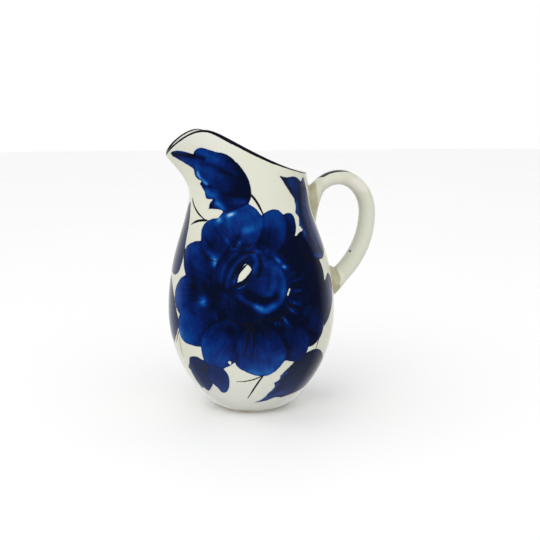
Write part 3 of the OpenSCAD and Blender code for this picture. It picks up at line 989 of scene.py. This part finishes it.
def build_handle():
    ts = np.linspace(0, 2, HANDLE_RINGS)
    points = np.concatenate([handle_ring(t) for t in ts])
    n = len(points)
    caps = [tuple(range(SIDES))[::-1], tuple(n - SIDES + i for i in range(SIDES))]
    t = np.repeat(ts, SIDES)
    s = np.tile(2 * np.pi * np.arange(SIDES) / SIDES, HANDLE_RINGS)
    across = np.minimum(s, 2 * np.pi - s) * HANDLE_W / 2
    width = STROKE_WIDTH * smooth(0.0, 0.08, t) * smooth(STROKE_END, 0.25, t)
    width -= 0.2 * (t > STROKE_END)
    make_piece("loop_handle", points, ring_quads(HANDLE_RINGS, SIDES)[:, ::-1], caps,
               ("handle",), handle_glaze(),
               {"stroke": width - across, "off_wall": off_wall(points)})


def off_wall(points):
    """How far points stand off the outer wall, in mm."""
    phi = np.degrees(np.arctan2(points[:, 1], points[:, 0]))
    wall = outline(phi, v_at(phi, points[:, 2]))[..., 0]
    return np.hypot(points[:, 0], points[:, 1]) - wall


def v_at(phi, z):
    """The outline's v at height z, by halving."""
    lo, hi = np.zeros_like(phi), np.full_like(phi, 3.0)
    for _ in range(30):
        mid = (lo + hi) / 2
        below = outline(phi, mid)[..., 1] < z
        lo, hi = np.where(below, mid, lo), np.where(below, hi, mid)
    return (lo + hi) / 2


def print_point(footprint, up, s, share):
    """Points on the wall, at angles s and a share of the way out to the footprint's
    edge. up is 1 for the upper joint and -1 for the lower one, which is mirrored."""
    z = footprint[0] + up * footprint[1] * np.cos(s) * share
    y = -up * footprint[2] * np.sin(s) * share
    r = outline(0.0, v_at(np.zeros_like(z), z))[..., 0]
    phi = np.degrees(np.arcsin(y / r))
    return around(phi, outline(phi, v_at(phi, z)))


def build_joint(name, node, footprint, hug, lead, up, end, out, material):
    """A fillet of slip from its footprint on the wall to end, the handle's last ring."""
    s = 2 * np.pi * np.arange(SIDES) / SIDES
    out = np.array([out[0], 0, out[1]])
    swept = (hug * (1 - np.cos(s)) / 2)[:, None]
    centre = print_point(footprint, up, np.zeros(1), 0.0)[0]
    patch = [print_point(footprint, up, s, k / PATCH_RINGS) for k in range(1, PATCH_RINGS + 1)]
    edge = patch[-1]
    rise = mix(edge, centre, swept) + np.array([SLIP_STAND, 0, 0])
    sides = [bezier(edge, rise, end - out * lead, end, k / FILLET_RINGS)
             for k in range(1, FILLET_RINGS + 1)]
    points = np.concatenate([[centre], *patch, *sides])
    rings = PATCH_RINGS + FILLET_RINGS
    fan = [(0, 1 + i, 1 + (i + 1) % SIDES)[::-1] for i in range(SIDES)]
    cap = tuple(1 + (rings - 1) * SIDES + i for i in range(SIDES))
    quads = ring_quads(rings, SIDES, 1)
    make_piece(name, points, quads, [*fan, cap], (node,), material,
               {"off_wall": off_wall(points)})


def build_joints():
    slip = slip_glaze()
    build_joint("upper_slip", "upper_handle_joint", UPPER_PRINT, UPPER_HUG, UPPER_LEAD, 1,
                handle_ring(0.0), TOP_DIR, slip)
    build_joint("lower_slip", "lower_handle_joint", LOWER_PRINT, LOWER_HUG, LOWER_LEAD, -1,
                handle_ring(2.0) * np.array([1, -1, 1]), -LOW_DIR, slip)


def build_foot():
    bevel, n = 0.4, 160
    corner = [direction(a) for a in np.radians(np.linspace(0, 90, 6))]
    section = [(FOOT_BORE_R, FOOT_H)]
    section += [(FOOT_BORE_R + bevel - bevel * c, bevel - bevel * s) for c, s in corner]
    section += [(FOOT_R - bevel + bevel * s, bevel - bevel * c) for c, s in corner]
    section += [(FOOT_R, FOOT_H)]
    section = np.array(section)
    phi = 360 * np.arange(n) / n
    points = around(np.broadcast_to(phi, (len(section), n)),
                    np.broadcast_to(section[:, None, :], (len(section), n, 2)))
    last = (len(section) - 1) * n
    top = [(i, (i + 1) % n, last + (i + 1) % n, last + i)[::-1] for i in range(n)]
    make_piece("foot", points.reshape(-1, 3), ring_quads(len(section), n), top,
               ("foot_ring",), biscuit())


# -------- studio
FLOOR_HALF = 3.0        # metres


def build_floor():
    m = Nodes("pale_floor")
    shade = m.noise(m.place(), 3.0, 2.0)
    colour = m.ramp(shade, [(0.3, (0.975, 0.975, 0.975, 1)), (0.7, (0.99, 0.99, 0.99, 1))])
    corners = [(x * FLOOR_HALF, y * FLOOR_HALF, 0) for x, y in ((-1, -1), (1, -1), (1, 1), (-1, 1))]
    mesh = bpy.data.meshes.new("floor")
    mesh.from_pydata(corners, [], [(0, 1, 2, 3)])
    mesh.materials.append(m.finish(colour, 0.6, ior=1.3))
    floor = add_object("floor", mesh)
    floor.visible_glossy = False


KEY_PLACE, KEY_TARGET = Vector((-0.62, -1.05, 1.0)), Vector((0, 0, 0.06))       # metres
KEY_SIDE, KEY_WATTS = 0.8, 2.5


def build_key_light():
    data = bpy.data.lights.new("key", "AREA")
    data.shape, data.size, data.size_y = "RECTANGLE", KEY_SIDE, KEY_SIDE
    data.energy = KEY_WATTS
    lamp = add_object("key", data)
    aim(lamp, KEY_PLACE, KEY_TARGET)
    lamp.visible_glossy = False


WORLD_STRENGTH = 1.03
FRONT_SHARE = 0.32      # the front left is this share above the mean, the back this share below
ROOM, BACKDROP, TABLE = 0.08, 0.95, 0.52        # strengths that the glaze mirrors


def towards(tree, where, way, *limits):
    """How much a ray goes the given way, from limits 1 and 2 mapped to limits 3 and 4."""
    dot = tree.nodes.new("ShaderNodeVectorMath")
    dot.operation = "DOT_PRODUCT"
    dot.inputs[1].default_value = way
    tree.links.new(where.outputs["Generated"], dot.inputs[0])
    part = tree.nodes.new("ShaderNodeMapRange")
    tree.links.new(dot.outputs["Value"], part.inputs[0])
    for socket, value in zip(list(part.inputs)[1:5], limits):
        socket.default_value = value
    return part.outputs[0]


def choose(tree, test, usual):
    """A mix that is the usual strength, and its free input 3 where test is 1."""
    pick = tree.nodes.new("ShaderNodeMix")
    pick.data_type = "FLOAT"
    tree.links.new(test, pick.inputs[0])
    tree.links.new(usual, pick.inputs[2])
    return pick


def build_world():
    """A white tent, brighter at the front left. The glaze mirrors only the part of it
    behind the jug and the bright table, as with a dark room behind the camera."""
    world = bpy.data.worlds.new("studio")
    world.use_nodes = True
    tree = world.node_tree
    background = tree.nodes["Background"]
    background.inputs["Color"].default_value = (1, 1, 1, 1)
    where = tree.nodes.new("ShaderNodeTexCoord")
    a = math.radians(CAM_AZIMUTH)
    behind = towards(tree, where, (-math.sin(a), math.cos(a), 0), 0.3, 0.9, ROOM, BACKDROP)
    below = towards(tree, where, (0, 0, -1), 0.45, 0.95, ROOM, TABLE)
    front = towards(tree, where, (-0.55, -0.83, 0), -1, 1,
                    WORLD_STRENGTH * (1 - FRONT_SHARE), WORLD_STRENGTH * (1 + FRONT_SHARE))
    most = tree.nodes.new("ShaderNodeMath")
    most.operation = "MAXIMUM"
    tree.links.new(behind, most.inputs[0])
    tree.links.new(below, most.inputs[1])
    ray = tree.nodes.new("ShaderNodeLightPath")
    lit = choose(tree, ray.outputs["Is Diffuse Ray"], most.outputs[0])
    tree.links.new(front, lit.inputs[3])
    seen = choose(tree, ray.outputs["Is Camera Ray"], lit.outputs[0])
    seen.inputs[3].default_value = 1.0
    tree.links.new(seen.outputs[0], background.inputs["Strength"])
    bpy.context.scene.world = world


def build_studio():
    build_floor()
    build_world()
    build_key_light()
    bpy.context.scene.view_settings.view_transform = "Standard"


make_camera()
build_body()
build_handle()
build_joints()
build_foot()
build_studio()
